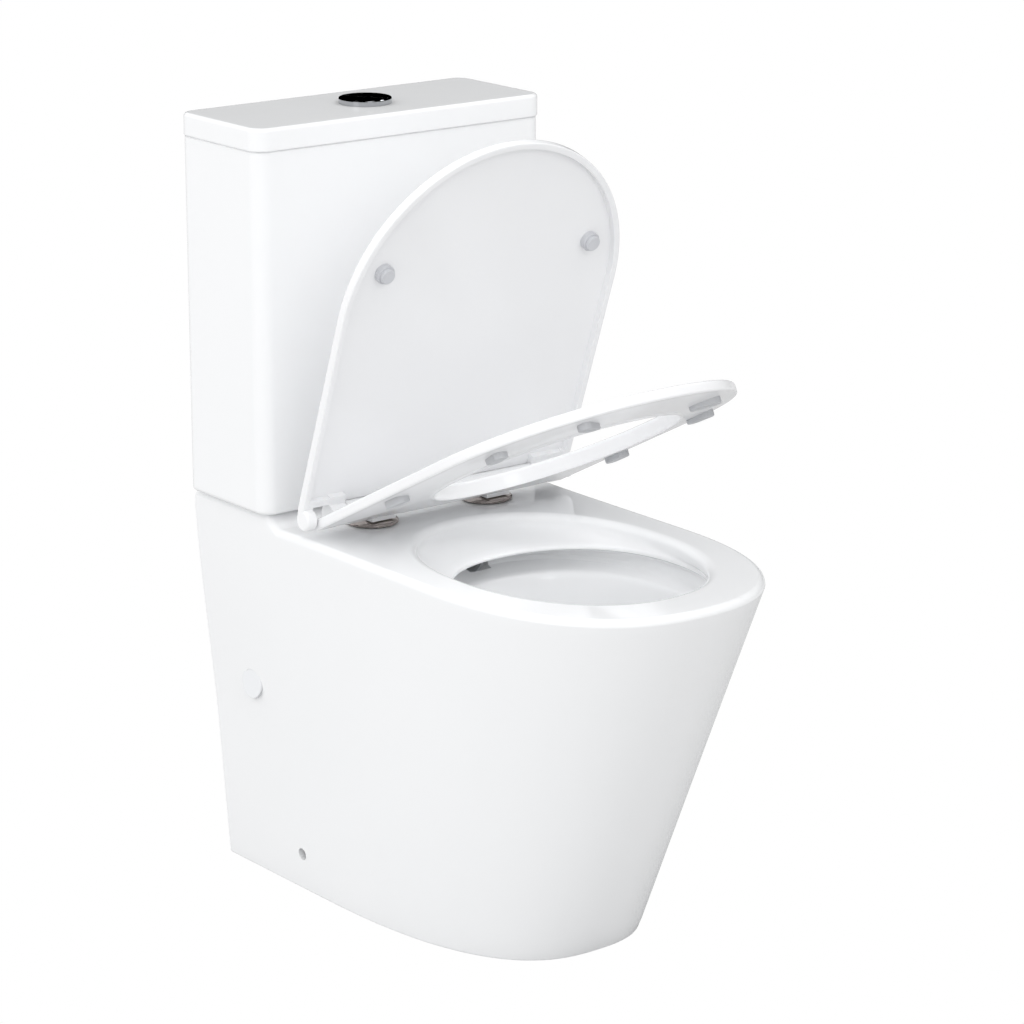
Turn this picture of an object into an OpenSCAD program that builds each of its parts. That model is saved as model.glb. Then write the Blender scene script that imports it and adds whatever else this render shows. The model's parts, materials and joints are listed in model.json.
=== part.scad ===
// Close coupled toilet suite: a shrouded rimless pan, a cistern with its valves, and a hinged seat and lid.
// Millimetres. X is across, -Y is the front, +Z is up. The origin is on the floor at the middle of the footprint.

/* [Pan] */
// Depth of the whole suite, from the wall face to the front of the rim
suite_depth = 652; // [620:1:700]
// Height of the rim above the floor
rim_z = 421; // [400:1:440]
// Half of the pan's width at the rim
rim_half = 175.5; // [165:0.5:185]
// Half of the pan's width at the floor
foot_half = 144.5; // [135:0.5:155]
// How far the foot's front stands back from the rim's front
toe_recess = 170; // [140:1:190]
// Thickness of the fired clay walls
clay = 12; // [10:1:14]
// Height of the raised ledge that the cistern sits on
ledge_rise = 13; // [8:1:18]

/* [Bowl] */
// Half of the bowl opening's width
mouth_half = 130; // [120:1:135]
// Half of the bowl opening's length
mouth_long = 174; // [165:1:178]
// Distance from the front of the rim to the middle of the bowl opening
mouth_setback = 234; // [225:1:240]

/* [Cistern] */
// Width of the cistern
tank_w = 378; // [350:1:400]
// Front to back depth of the cistern
tank_d = 148; // [140:1:170]
// Height of the top of the cistern lid
tank_top = 853.5; // [830:0.5:880]
// Thickness of the cistern lid
tank_lid_t = 25; // [20:1:30]
// Radius of the cistern's upright corners
tank_r = 16; // [10:1:22]

/* [Seat and lid] */
// Height of the hinge line
axis_z = 443.5; // [442:0.5:446]
// Distance from the wall to the hinge line
axis_setback = 206.5; // [204:0.5:212]
// Distance between the two hinge fixings
hinge_pitch = 155; // [150:1:160]
// Half of the seat's width
seat_half = 166.5; // [164:0.5:168]
// Length of the seat from the hinge line
seat_len = 433; // [425:1:436]
// Half of the lid's width
lid_half = 180.5; // [178:0.5:184]
// Length of the lid from the hinge line
lid_len = 426; // [420:1:432]
// Angle that the seat is raised to, 0 when it lies on the rim
seat_angle = 27; // [10:1:40]
// Angle that the lid is raised to, 0 when it lies on the seat
lid_angle = 70.5; // [60:0.5:80]

/* [Hidden] */

$fn = 48;
eps = 0.01;
run_gap = 0.05;      // radial running clearance on pins
back_y = suite_depth / 2;
front_y = -suite_depth / 2;
axis_y = back_y - axis_setback;
mouth_y = front_y + mouth_setback;
ledge_z = rim_z + ledge_rise;
tank_z0 = ledge_z + 1.5;
tank_z1 = tank_top - tank_lid_t;
tank_front = back_y - tank_d;
tank_mid_y = back_y - 78;
hinge_y = back_y - 190;
hinge_x = hinge_pitch / 2;

rim_mid_y = front_y + 241;     // where the rim's straight sides end
foot_mid_y = front_y + 479.5;  // where the foot's straight sides end
rim_edge = 8;                  // rounding of the rim's outer edge
deck_half = rim_half + 5.5;    // half width of the ledge under the cistern
deck_t = 14;                   // thickness of the deck and the ledge
deck_front = tank_front - 7;   // foot of the ledge's front slope

inlet_r = 40;        // bore that takes the flush valve's tail
inlet_recess_r = 52; // recess for the valve's nut and seal
flush_duct_z = rim_z - 42;
bolt_x = 92;         // cistern bolts, either side of the middle
shank_x = -132;      // water inlet
inlet_pipe_r = 10.4;  // its thread, below the nut
inlet_neck_r = 10;    // its plain neck, inside the nut and the tank
shank_y = back_y - 62;
waste_z = 180;       // height of the waste outlet's centre
waste_y = back_y - 40;
cap_y = back_y - 81;
cap_z = 228;
cap_r = 18;
fix_y = back_y - 149;
fix_z = 42.5;
fix_r = 7;

bar_r = 12.3;        // seat's rear bar
lug_r = 12.3;        // lid's hinge lugs
knuckle_r = 13;      // lid's end knuckles
bar_half = 125.5;
bar_bore_x = 58;     // inner end of the bar's two pin bores
lug_x0 = 126.3;
lug_x1 = 147;
post_w = 31;
post_r = 8.5;
pin_r = 3;
seat_top = -1.5;     // heights above the hinge line, with the seat or lid lying flat
seat_bottom = -13.3;
skirt_bottom = -19.8;
lid_bottom = 1.9;
lid_top = 12.9;
seat_skin = 3.5;
lid_skin = 3.4;
hole_s = 219;        // middle of the seat's opening, from the hinge line
hole_half = 118;
hole_long = 153;

pad_spots = [[147, 131, 0], [134, 300, 12], [76, 383, 60]]; // each pad's x, distance from the hinge, turn
pad_half_long = 9;
pad_r = 8;
pad_gap = 0.4;       // between the pads and the rim, with the seat down

button_turn = -58.5; // the button unit is screwed in at this angle
button_rise = 6.5;   // how far the button stands above the cistern lid

// ---------- outlines ----------
function sgn_pow(v, p) = v < 0 ? -pow(-v, p) : pow(v, p);

// A quarter-by-quarter superellipse arc from angle a0 to a1, centred on [0, cy]
function super_arc(hx, hy, cy, n, a0, a1, steps) =
    [for (i = [0:steps])
        let (a = a0 + (a1 - a0) * i / steps)
        [hx * sgn_pow(cos(a), 2 / n), cy + hy * sgn_pow(sin(a), 2 / n)]];

// Straight-sided outline with a rounded front, counter-clockwise from its back right corner
function u_outline(half, y_back, y_mid, y_front, n, steps = 28) =
    concat([[half, y_back], [-half, y_back]],
           super_arc(half, y_mid - y_front, y_mid, n, 180, 360, steps));

// Closed oval outline, counter-clockwise
function oval(hx, hy, cy, n, steps = 44) =
    [for (i = [0:steps - 1])
        let (a = 360 * i / steps)
        [hx * sgn_pow(cos(a), 2 / n), cy + hy * sgn_pow(sin(a), 2 / n)]];

function mix(a, b, t) = a + (b - a) * t;

// Solid through a run of rings of points, all with the same number of points
module skin(rings) {
    m = len(rings[0]);
    last = len(rings) - 1;
    sides = [for (k = [0:last - 1]) for (j = [0:m - 1])
        [k * m + j, (k + 1) * m + j, (k + 1) * m + (j + 1) % m, k * m + (j + 1) % m]];
    caps = [[for (j = [0:m - 1]) j], [for (j = [m - 1:-1:0]) last * m + j]];
    polyhedron(points = [for (r = rings) each r], faces = concat(caps, sides), convexity = 8);
}

// Solid through a stack of level rings, each [outline, height]
module loft(rings) {
    skin([for (r = rings) [for (p = r[0]) [p[0], p[1], r[1]]]]);
}

// The pan's outer outline at height z, drawn in by inset
function pan_ring(z, inset) =
    let (t = z / (rim_z - rim_edge))
    u_outline(mix(foot_half, rim_half, t) - inset, back_y,
              mix(foot_mid_y, rim_mid_y, t),
              mix(front_y + toe_recess, front_y, t) + inset,
              mix(2.65, 2.35, t));

// Upright box with rounded corners, made of exact solids
module soft_box(half_w, y0, y1, z0, z1, r) {
    translate([0, 0, z0]) linear_extrude(z1 - z0) {
        translate([-half_w + r, y0]) square([2 * (half_w - r), y1 - y0]);
        translate([-half_w, y0 + r]) square([2 * half_w, y1 - y0 - 2 * r]);
        for (sx = [-1, 1]) for (y = [y0 + r, y1 - r])
            translate([sx * (half_w - r), y]) circle(r);
    }
}

module tube(r_out, r_in, z0, z1) {
    translate([0, 0, z0]) difference() {
        cylinder(h = z1 - z0, r = r_out);
        translate([0, 0, -1]) cylinder(h = z1 - z0 + 2, r = r_in);
    }
}

module both_sides() {
    children();
    mirror([1, 0, 0]) children();
}

// Rod along X from x0 to x1
module x_rod(x0, x1, r) {
    translate([x0, 0, 0]) rotate([0, 90, 0]) cylinder(h = x1 - x0, r = r);
}

// ---------- pan ----------
module pan_outside() {
    edge_z = rim_z - rim_edge;
    loft(concat([[pan_ring(0, 0), 0]],
                [for (a = [0:22.5:90])
                    [pan_ring(edge_z, rim_edge * (1 - cos(a))), edge_z + rim_edge * sin(a)]]));
    ledge_ring = function(half, y0) [[half, back_y], [-half, back_y], [-half, y0], [half, y0]];
    loft([[ledge_ring(foot_half, deck_front), 0],
          [ledge_ring(mix(foot_half, rim_half, 0.72), deck_front), 300],
          [ledge_ring(deck_half - 1.5, deck_front), 380],
          [ledge_ring(deck_half, deck_front), rim_z],
          [ledge_ring(deck_half - 1, tank_front - 2), ledge_z - 4],
          [ledge_ring(deck_half - 5, tank_front + 2), ledge_z]]);
}

function bowl_ring(grow, half, y_rear, y_front, n = 2.25) =
    oval(half + grow, (y_rear - y_front) / 2 + grow, (y_rear + y_front) / 2, n);

// The hollow of the bowl, from the rim down to the sump, grown by the wall for its outside
module bowl_space(grow, top) {
    rear = mouth_y + mouth_long;
    front = mouth_y - mouth_long;
    stack = [
        [bowl_ring(grow, 36, 38, -60, 2.1), 128 - grow],
        [bowl_ring(grow, 48, 44, -78, 2.1), 165],
        [bowl_ring(grow, 70, 40, -120, 2.1), 225],
        [bowl_ring(grow, 100, 34, -185, 2.15), 290],
        [bowl_ring(grow, 118, 40, -236), 345],
        [bowl_ring(grow, 123, 44, front + 12), 368],
        [bowl_ring(grow, 133, 56, front + 4), 376],
        [bowl_ring(grow, 135, 58, front + 1), 388],
        [bowl_ring(grow, 131, 34, front + 2), 397],
        [bowl_ring(grow, 127, 16, front + 4), 401],
        [bowl_ring(grow, mouth_half - 1, rear - 34, front + 1), 406],
        [bowl_ring(grow, mouth_half, rear, front), rim_z - 6]];
    mouth = [
        [bowl_ring(grow, mouth_half + 1.6, rear + 1.6, front - 1.6), rim_z - 2.5],
        [bowl_ring(grow, mouth_half + 6, rear + 6, front - 6), rim_z + eps],
        [bowl_ring(grow, mouth_half + 6, rear + 6, front - 6), rim_z + 2]];
    loft(top ? concat(stack, mouth) : stack);
}

// Ring of a bent pipe, square to a centre line that climbs at tilt degrees as it runs to the back
function pipe_ring(y, z, r, tilt, steps = 20) =
    [for (i = [0:steps - 1])
        let (a = 360 * i / steps)
        [-r * cos(a), y - r * sin(a) * sin(tilt), z + r * sin(a) * cos(tilt)]];

// Waste way: out of the sump, over the weir and back to the outlet. Each bend is [y, z, widening, tilt].
module trap_way(r, waste_r, extra) {
    bends = [[-5, 150, 0, 0], [36, 151, 0, 12], [60, 170, 0, 46], [82, 195, 0, 40], [104, 205, 0, 0],
             [128, 200, 0, -26], [152, 188, 4, -24], [176, waste_z, 11, -6], [196, waste_z, 15, 0]];
    skin([for (b = bends) pipe_ring(b[0], b[1], r + b[2], b[3])]);
    translate([0, 190, waste_z]) rotate([-90, 0, 0]) cylinder(h = waste_y - 190 + extra, r = waste_r);
}

module flush_duct(grow) {
    translate([0, tank_mid_y, flush_duct_z - 16 - grow]) cylinder(h = 42 + grow, r = inlet_r + grow);
    translate([0, 50, flush_duct_z]) rotate([-90, 0, 0])
        cylinder(h = tank_mid_y - 50, r = 15 + grow / 2);
}

// Everything hollow below the deck and around the bowl
module under_space() {
    difference() {
        union() {
            loft([[pan_ring(0, clay), -1], [pan_ring(rim_z - 40, clay), rim_z - 40],
                  [pan_ring(rim_z - 16, clay + 14), rim_z - 16]]);
            translate([-rim_half + clay + 4, deck_front + clay, 300])
                cube([2 * (rim_half - clay - 4), back_y - deck_front - 2 * clay, ledge_z - deck_t - 300]);
            translate([-118, back_y - 2 * clay, -1]) cube([236, 3 * clay, 370]);
        }
        translate([-200, back_y - clay, -2]) difference() {
            cube([400, clay + 1, ledge_z]);
            translate([82, -1, -1]) cube([236, clay + 3, 373]);
        }
        bowl_space(clay - 2, false);
        trap_way(36, 51, 0);
        flush_duct(9);
        translate([0, tank_mid_y, rim_z - 27]) cylinder(h = 40, r = inlet_recess_r + 9);
    }
}

module pan() {
    color("white") difference() {
        pan_outside();
        under_space();
        bowl_space(0, true);
        trap_way(27, 46, 2);
        flush_duct(0);
        translate([0, tank_mid_y, rim_z - 18]) cylinder(h = 60, r = inlet_recess_r);
        for (sx = [-1, 1]) {
            translate([sx * hinge_x, hinge_y, rim_z - 30]) cylinder(h = 60, r = 7);
            translate([sx * bolt_x, tank_mid_y, rim_z - 30]) cylinder(h = 60, r = 8);
        }
        translate([shank_x, shank_y, rim_z - 30]) cylinder(h = 60, r = 22);
        translate([0, fix_y, fix_z]) x_rod(-200, 200, fix_r);
        translate([0, cap_y, cap_z]) x_rod(-200, 200, cap_r - 3);
    }
}

module access_caps() {
    wall_x = mix(foot_half, rim_half, cap_z / rim_z);
    color("whitesmoke") both_sides() translate([0, cap_y, cap_z]) {
        x_rod(wall_x + 1.9, wall_x + 3.4, cap_r);
        difference() {
            x_rod(wall_x - clay - 3, wall_x + 1.9, cap_r - 3 - run_gap);
            x_rod(wall_x - clay - 4, wall_x, cap_r - 6);
        }
    }
}

module floor_brackets() {
    up_x = foot_half - clay - 9;
    color("gainsboro") both_sides() difference() {
        union() {
            translate([up_x - 38, fix_y - 20, 0]) cube([44, 40, 4]);
            translate([up_x, fix_y - 20, 0]) cube([6, 40, 58]);
            translate([up_x - 10, fix_y, fix_z]) rotate([0, 90, 0]) cylinder(h = 10, r = 8);
        }
        translate([up_x - 18, fix_y, -1]) cylinder(h = 6, r = 4);
        translate([0, fix_y, fix_z]) x_rod(up_x - 11, up_x + 7, 3 + run_gap);
    }
}

module floor_screws() {
    up_x = foot_half - clay - 9;
    color("silver") both_sides() translate([0, fix_y, fix_z]) {
        x_rod(up_x - 16, up_x + 13, 3);
        difference() {
            x_rod(up_x + 13, up_x + 17, 6);
            x_rod(up_x + 15, up_x + 18, 2.5);
        }
    }
}

module flush_guide() {
    color("white") translate([0, 60, flush_duct_z]) rotate([-90, 0, 0])
        tube(15 - run_gap, 12, 0, 26);
}

module outlet_seal() {
    color("dimgray") translate([0, waste_y - 30, waste_z]) rotate([-90, 0, 0]) difference() {
        cylinder(h = 28, r = 55);
        translate([0, 0, -1]) cylinder(h = 30, r = 51 + run_gap);
    }
}

// ---------- cistern ----------
module cistern_tank() {
    wall = 9;
    half = tank_w / 2;
    color("white") difference() {
        soft_box(half, tank_front, back_y, tank_z0, tank_z1, tank_r);
        soft_box(half - wall, tank_front + wall, back_y - wall, tank_z0 + clay, tank_z1 + 1,
                 tank_r - wall + 1);
        translate([0, tank_mid_y, tank_z0 - 1]) cylinder(h = clay + 2, r = 32.5);
        for (sx = [-1, 1])
            translate([sx * bolt_x, tank_mid_y, tank_z0 - 1]) cylinder(h = clay + 2, r = 6);
        translate([shank_x, shank_y, tank_z0 - 1]) cylinder(h = clay + 2, r = 11.2);
    }
}

module cistern_lid() {
    over = 1.5;
    half = tank_w / 2;
    color("white") difference() {
        union() {
            soft_box(half + over, tank_front - over, back_y, tank_z1 + 0.3, tank_top, tank_r + over);
            soft_box(half - 12, tank_front + 12, back_y - 12, tank_z1 - 6, tank_z1 + 1, tank_r - 8);
        }
        soft_box(half - 18, tank_front + 18, back_y - 18, tank_z1 - 7, tank_top - 10, 6);
        translate([0, tank_mid_y, tank_z1 - 10]) cylinder(h = 60, r = 27);
    }
}

module tank_gasket() {
    color("dimgray") translate([0, 0, ledge_z]) linear_extrude(tank_z0 - ledge_z) difference() {
        translate([-tank_w / 2 + 30, tank_front + 14]) square([tank_w - 60, tank_d - 28]);
        translate([0, tank_mid_y]) circle(inlet_recess_r + 2);
        for (sx = [-1, 1]) translate([sx * bolt_x, tank_mid_y]) circle(9);
        translate([shank_x, shank_y]) circle(23);
    }
}

module tank_bolts() {
    top = tank_z0 + clay + 3;
    color("silver") for (sx = [-1, 1]) translate([sx * bolt_x, tank_mid_y, 0]) {
        translate([0, 0, top]) cylinder(h = 5, r = 7, $fn = 6);
        translate([0, 0, rim_z - 36]) cylinder(h = top - rim_z + 36, r = 4);
    }
}

module tank_bolt_washers() {
    z0 = tank_z0 + clay;
    color("dimgray") for (sx = [-1, 1]) translate([sx * bolt_x, tank_mid_y, 0])
        tube(11, 4 + run_gap, z0, z0 + 3);
}

// Nut with two wings, its bore at the origin's axis
module wing_nut(z0, bore_r) {
    difference() {
        translate([0, 0, z0]) union() {
            cylinder(h = 10, r = bore_r + 4);
            translate([-15, -1.5, 0]) cube([30, 3, 9]);
        }
        translate([0, 0, z0 - 1]) cylinder(h = 12, r = bore_r + run_gap);
    }
}

module tank_wing_nuts() {
    under = ledge_z - deck_t;
    color("goldenrod") for (sx = [-1, 1]) translate([sx * bolt_x, tank_mid_y, 0]) {
        tube(13, 4 + run_gap, under - 2, under);
        wing_nut(under - 12.2, 4);
    }
}

// ---------- flush valve ----------
module at_valve() {
    translate([0, tank_mid_y, 0]) children();
}

seat_z = tank_z0 + clay + 12;
tower_top = tank_z1 - 108;

module flush_valve_body() {
    floor_z = tank_z0 + clay;
    color("lightsteelblue") at_valve() difference() {
        union() {
            tube(44, 29, floor_z, floor_z + 5);
            tube(31, 29, rim_z - 14, floor_z + 1);
            tube(34, 29, floor_z + 4, seat_z);
            difference() {
                tube(40, 37, floor_z + 4, tower_top);
                for (a = [45:90:315]) rotate([0, 0, a]) translate([28, -16, seat_z])
                    cube([24, 32, 70]);
            }
        }
    }
}

module flush_valve_nut() {
    color("lightsteelblue") at_valve() difference() {
        tube(40, 31 + run_gap, tank_z0 - 12, tank_z0 - 0.2);
        for (a = [0:45:315]) rotate([0, 0, a]) translate([41, 0, tank_z0 - 13])
            cylinder(h = 14, r = 4);
    }
}

module doughnut_seal() {
    color("dimgray") at_valve() difference() {
        tube(50, 31 + run_gap, tank_z0 - 29, tank_z0 - 12.2);
    }
}

module flush_valve_cap() {
    color("lightsteelblue") at_valve() {
        difference() {
            tube(42, 10, tower_top, tower_top + 5);
            for (a = [0:90:270]) rotate([0, 0, a + 45]) translate([26, 0, tower_top - 1])
                cylinder(h = 8, r = 7);
        }
        tube(14, 11, tower_top + 5, tower_top + 34);
    }
}

module flush_canister() {
    color("dodgerblue") at_valve() difference() {
        union() {
            translate([0, 0, seat_z + 3.4]) cylinder(h = 5, r = 33);
            tube(33, 30, seat_z + 8, tower_top - 60);
        }
        translate([0, 0, seat_z - 1]) cylinder(h = 12, r = 13 + run_gap);
    }
}

module canister_seal() {
    color("darkred") at_valve() tube(33, 14.2, seat_z + 0.2, seat_z + 3.2);
}

module overflow_tube() {
    color("lightsteelblue") at_valve() tube(13, 10.5, seat_z - 6, tower_top - 50);
}

// ---------- fill valve ----------
fill_top = tank_z1 - 62;
arm_x = 24;          // the arm's pivot, from the fill valve's centre
rod_x = 52;          // the float's rod, from the fill valve's centre
arm_z = fill_top + 15;

module at_fill() {
    translate([shank_x, shank_y, 0]) children();
}

module fill_valve_body() {
    floor_z = tank_z0 + clay;
    color("lightsteelblue") at_fill() {
        difference() {
            union() {
                translate([0, 0, rim_z - 44]) cylinder(h = tank_z0 - 14 - rim_z + 44, r = inlet_pipe_r);
                translate([0, 0, tank_z0 - 15]) cylinder(h = clay + 16, r = inlet_neck_r);
                translate([0, 0, floor_z]) cylinder(h = 5, r = 17);
                translate([0, 0, floor_z + 4]) cylinder(h = fill_top - floor_z - 4, r = 9);
            }
            translate([0, 0, rim_z - 45]) cylinder(h = fill_top - rim_z + 30, r = 6);
        }
        difference() {
            union() {
                translate([0, 0, fill_top - 2]) cylinder(h = 24, r = 17);
                for (y = [-9, 5]) translate([8, y, fill_top + 8]) cube([22, 4, 14]);
            }
            translate([arm_x, 0, arm_z]) rotate([90, 0, 0])
                cylinder(h = 40, r = 2 + run_gap, center = true);
        }
    }
}

module fill_valve_float() {
    z1 = fill_top - 18;
    z0 = z1 - 62;
    color("gainsboro") at_fill() {
        difference() {
            translate([0, 0, z0]) cylinder(h = 62, r = 26);
            translate([0, 0, z0 - 1]) cylinder(h = 64, r = 9.4);
            translate([0, 0, z0 - 3]) cylinder(h = 52, r = 23.5);
        }
        tube(14, 9.4, z0, z1 - 12);
        translate([arm_x, -4, z0 + 2]) cube([rod_x - arm_x + 3, 8, 4]);
        translate([rod_x, 0, z0 + 2]) cylinder(h = arm_z - z0 - 2, r = 2);
        translate([rod_x, 0, arm_z]) sphere(3);
    }
}

module fill_valve_arm() {
    color("lightsteelblue") at_fill() translate([arm_x, 0, arm_z]) {
        rotate([90, 0, 0]) cylinder(h = 20, r = 2, center = true);
        rotate([90, 0, 0]) cylinder(h = 9.4, r = 5.5, center = true);
        for (y = [-4.7, 3.2]) translate([4, y, -2.5]) cube([34, 1.5, 5]);
    }
}

module inlet_nut() {
    color("lightsteelblue") at_fill() difference() {
        translate([0, 0, tank_z0 - 12]) cylinder(h = 11.8, r = 17, $fn = 6);
        translate([0, 0, tank_z0 - 13]) cylinder(h = 14, r = inlet_neck_r + run_gap);
    }
}

// ---------- flush buttons ----------
button_r = 29;
stem_r = 26.3;
button_stroke = 4;

module button_collar() {
    color("silver") at_valve() difference() {
        union() {
            translate([0, 0, tank_top]) cylinder(h = button_rise, r = button_r);
            translate([0, 0, tank_z1 - 18]) cylinder(h = tank_lid_t + 19, r = stem_r);
        }
        translate([0, 0, tank_top + 0.5]) cylinder(h = 20, r = 26.9);
        translate([0, 0, tank_z1 - 19]) cylinder(h = 80, r = 24.2);
    }
}

module button_nut() {
    color("gainsboro") at_valve() tube(34, stem_r + run_gap, tank_top - 20.2, tank_top - 10.2);
}

// One half of the split button, side 1 or -1, with the rod that reaches down to the valve
module half_button(side) {
    plate_z = tank_top + button_stroke + 0.8;
    at_valve() rotate([0, 0, button_turn]) {
        intersection() {
            translate([0, 0, plate_z]) cylinder(h = button_rise + 0.2 + tank_top - plate_z, r = 26.7);
            translate([-30, side > 0 ? 0.3 : -30.3, tank_top - 10]) cube([60, 30, 20]);
        }
        intersection() {
            translate([0, 0, tank_top - 16]) cylinder(h = plate_z + 16 - tank_top, r = 23.9);
            translate([-30, side > 0 ? 0.6 : -30.6, tank_top - 20]) cube([60, 30, 40]);
        }
        translate([0, side * 6, tower_top + 36]) cylinder(h = tank_top - 16 - tower_top - 36, r = 2.6);
    }
}

module full_flush_button() { color("silver") half_button(1); }
module half_flush_button() { color("silver") half_button(-1); }

// ---------- seat and lid, modelled lying flat with the hinge line through the origin ----------
module at_hinge(angle) {
    translate([0, axis_y, axis_z]) rotate([-angle, 0, 0]) children();
}

module slab(outline, h0, h1) {
    translate([0, 0, h0]) linear_extrude(h1 - h0) polygon(outline);
}

// Where the posts swing through the rear bar, seen from the side: a sector behind and below
module post_pocket() {
    half = post_w / 2 + 1.5;
    reach = 40;
    sector = [for (a = [-221:11.4:-50]) [-reach * cos(a), reach * sin(a)]];
    translate([hinge_x - half, 0, 0]) {
        x_rod(0, 2 * half, post_r + 0.8);
        rotate([90, 0, 90]) linear_extrude(2 * half) polygon(concat([[0, 0]], sector));
    }
}

module seat() {
    ring = oval(hole_half, hole_long, -hole_s, 2.1);
    color("white") at_hinge(seat_angle) difference() {
        union() {
            slab(u_outline(seat_half, 1, -242, -seat_len, 2.25), seat_bottom, seat_top);
            slab(oval(hole_half + seat_skin, hole_long + seat_skin, -hole_s, 2.1), skirt_bottom, seat_top);
            x_rod(-bar_half, bar_half, bar_r);
        }
        slab(ring, skirt_bottom - 1, seat_top + 1);
        both_sides() {
            post_pocket();
            x_rod(lug_x0 - 0.7, lug_x1 + 0.8, lug_r + 0.6);
            x_rod(bar_bore_x, lug_x1, pin_r + run_gap);
            x_rod(97, 122, 7.6);
            translate([lug_x0 - 0.7, -12.9, -30]) cube([lug_x1 - lug_x0 + 1.5, 30, 30]);
        }
    }
}

// Oval pad lying along Y
module long_pad(half_long, r, z0, z1) {
    translate([-r, -half_long, z0]) cube([2 * r, 2 * half_long, z1 - z0]);
    for (y = [-half_long, half_long]) translate([0, y, z0]) cylinder(h = z1 - z0, r = r);
}

module seat_bumpers() {
    color("gainsboro") at_hinge(seat_angle) both_sides() for (spot = pad_spots)
        translate([spot[0], -spot[1], 0]) rotate([0, 0, spot[2]])
            long_pad(pad_half_long, pad_r, rim_z - axis_z + pad_gap, seat_bottom);
}

module lid() {
    wall = 6;
    color("white") at_hinge(lid_angle) difference() {
        union() {
            difference() {
                slab(u_outline(lid_half, -7.5, -241, -lid_len, 2), lid_bottom, lid_top);
                slab(u_outline(lid_half - wall, -22, -241, wall - lid_len, 2), lid_bottom - 1,
                     lid_top - lid_skin);
                x_rod(-167.4, 167.4, knuckle_r + 0.1);
                translate([-bar_half - 0.8, -22, 0]) cube([2 * bar_half + 1.6, 20, 9.6]);
            }
            both_sides() {
                x_rod(167.4, lid_half, knuckle_r);
                translate([167.4, -20, lid_bottom]) cube([lid_half - 167.4, 20, lid_top - lid_bottom]);
                x_rod(lug_x0, lug_x1, lug_r);
                translate([lug_x0, -20, lid_bottom]) cube([lug_x1 - lug_x0, 20, lid_top - lid_bottom - 1]);
            }
        }
        both_sides() x_rod(lug_x0 - 1, lug_x1 - 1.5, pin_r + run_gap);
    }
}

module lid_bumpers() {
    top = lid_top - lid_skin;
    end = -1.1;
    color("darkgray") at_hinge(lid_angle) both_sides() translate([135.5, -290.5, 0]) {
        translate([0, 0, end]) cylinder(h = 4, r = 8.5);
        translate([0, 0, end + 4]) cylinder(h = top - end - 4, r = 10.5);
    }
}

module damper(side) {
    color("orange") at_hinge(seat_angle) difference() {
        x_rod(side > 0 ? 97.2 : -121.8, side > 0 ? 121.8 : -97.2, 7.5);
        x_rod(-130, 130, pin_r + run_gap);
    }
}

module seat_damper() { damper(1); }
module lid_damper() { damper(-1); }

module hinge_pins() {
    color("silver") both_sides() translate([0, axis_y, axis_z])
        x_rod(hinge_x - post_w / 2 - 1.2, lug_x1 - 2, pin_r);
}

module hinge_posts() {
    base = rim_z + 7;
    color("white") both_sides() translate([hinge_x, 0, 0]) difference() {
        union() {
            translate([0, hinge_y, base]) cylinder(h = 3, r = 13);
            translate([-post_w / 2, axis_y - 5.5, base]) cube([post_w, hinge_y - axis_y + 11, 3]);
            translate([-post_w / 2, axis_y - 5.5, base]) cube([post_w, 11, axis_z - base]);
            translate([0, axis_y, axis_z]) x_rod(-post_w / 2, post_w / 2, post_r);
        }
        translate([0, axis_y, axis_z]) x_rod(-post_w, post_w, pin_r + run_gap);
        translate([0, hinge_y, base - 1]) cylinder(h = 8, r = 4 + run_gap);
    }
}

module hinge_discs() {
    z0 = rim_z + 1;
    color("silver") both_sides() translate([hinge_x, hinge_y, z0]) rotate_extrude()
        polygon([[4 + run_gap, 0], [29, 0], [29, 2], [28, 3.2], [24, 4.6], [17, 5.9], [4 + run_gap, 6]]);
}

module hinge_gaskets() {
    color("dimgray") both_sides() translate([hinge_x, hinge_y, 0])
        tube(27, 4 + run_gap, rim_z, rim_z + 1);
}

module hinge_bolts() {
    color("silver") both_sides() translate([hinge_x, hinge_y, rim_z - 50]) {
        cylinder(h = 60, r = 4);
        translate([0, 0, 60]) cylinder(h = 3, r = 6.5);
    }
}

module hinge_washers() {
    under = rim_z - 16;
    color("dimgray") both_sides() translate([hinge_x, hinge_y, 0])
        tube(13, 4 + run_gap, under - 4, under - 0.2);
}

module hinge_wing_nuts() {
    color("goldenrod") both_sides() translate([hinge_x, hinge_y, 0])
        wing_nut(rim_z - 16 - 15, 4);
}

pan();
cistern_tank();
cistern_lid();
tank_gasket();
tank_bolts();
tank_bolt_washers();
tank_wing_nuts();
flush_valve_body();
flush_valve_nut();
flush_valve_cap();
doughnut_seal();
flush_canister();
canister_seal();
overflow_tube();
fill_valve_body();
fill_valve_float();
fill_valve_arm();
inlet_nut();
button_collar();
button_nut();
full_flush_button();
half_flush_button();
seat();
seat_bumpers();
seat_damper();
lid();
lid_bumpers();
lid_damper();
hinge_gaskets();
hinge_discs();
hinge_posts();
hinge_pins();
hinge_bolts();
hinge_washers();
hinge_wing_nuts();
access_caps();
floor_brackets();
floor_screws();
flush_guide();
outlet_seal();
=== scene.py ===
"""Close coupled toilet: the visual model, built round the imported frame.

Lengths in the tables are millimetres and are scaled to metres when a mesh is made.
Row frame: X across, -Y to the front, +Z up, origin on the floor.
"""
import json
import math

import bmesh
import bpy
from mathutils import Matrix, Vector


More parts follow.
